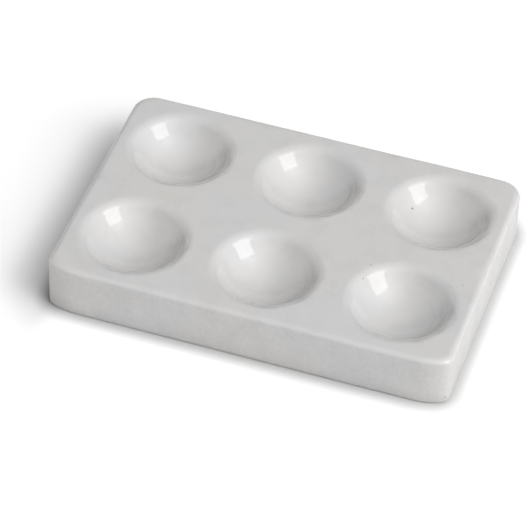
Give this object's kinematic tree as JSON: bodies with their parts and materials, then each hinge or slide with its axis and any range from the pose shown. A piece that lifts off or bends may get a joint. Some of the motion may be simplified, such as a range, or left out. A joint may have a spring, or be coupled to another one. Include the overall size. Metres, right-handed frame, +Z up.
{
  "type": "mixing palette",
  "caption": "Small rectangular white-glazed porcelain mixing palette: a thick slab with rounded corners and a grid of round bowl-shaped wells sunk into its face.",
  "frame": {"origin": "centre of the underside, on the surface that the palette stands on", "axes": "+X along the length, +Y across the width towards the back row of wells, +Z up out of the wells"},
  "size_m": [0.095, 0.0642, 0.0131],
  "materials": {
    "bare_porcelain": "unglazed fired porcelain, matt and very slightly gritty",
    "white_glaze": "clear-over-white glaze, glossy in the wells and satin with a fine orange peel on the walls"
  },
  "bodies": {
    "root": {"porcelain_body": "bare_porcelain", "glaze_coat": "white_glaze"}
  },
  "joints": []
}
